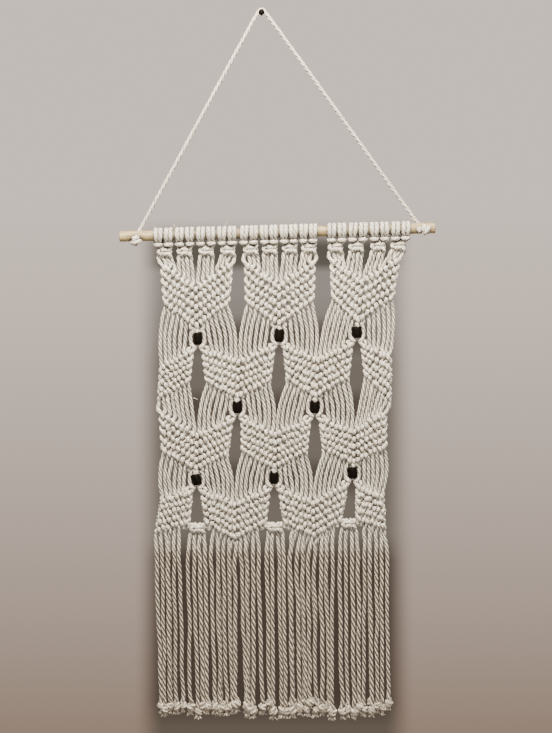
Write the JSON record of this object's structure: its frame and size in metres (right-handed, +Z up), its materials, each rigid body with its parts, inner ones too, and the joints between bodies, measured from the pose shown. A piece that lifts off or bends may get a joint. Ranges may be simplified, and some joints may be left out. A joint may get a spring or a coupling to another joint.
{
  "type": "macrame wall hanging with dowel and nail",
  "caption": "Knotted cotton macrame wall hanging with chevron bands, dark wooden beads and a long fringe, on a wooden dowel whose cord hangs from a nail.",
  "frame": {"origin": "centre of the nail's rear end, on the wall plane", "axes": "+X to the viewer's right along the dowel, +Y into the wall, +Z up"},
  "size_m": [0.3002, 0.0233, 0.6809],
  "materials": {
    "cotton_cord": "natural ivory three-ply twisted cotton cord",
    "pale_wood": "plain sanded hardwood, unfinished",
    "dark_bead": "wood stained nearly black, slight gloss",
    "dark_nail": "blackened steel"
  },
  "bodies": {
    "root": {"nail": "dark_nail", "dowel": "pale_wood", "hanger_cord": "cotton_cord", "hanger_knot_left": "cotton_cord", "hanger_knot_right": "cotton_cord", "net": "cotton_cord", "fringe": "cotton_cord", "bead_1": "dark_bead", "bead_2": "dark_bead", "bead_3": "dark_bead", "bead_4": "dark_bead", "bead_5": "dark_bead", "bead_6": "dark_bead", "bead_7": "dark_bead", "bead_8": "dark_bead"}
  },
  "joints": []
}
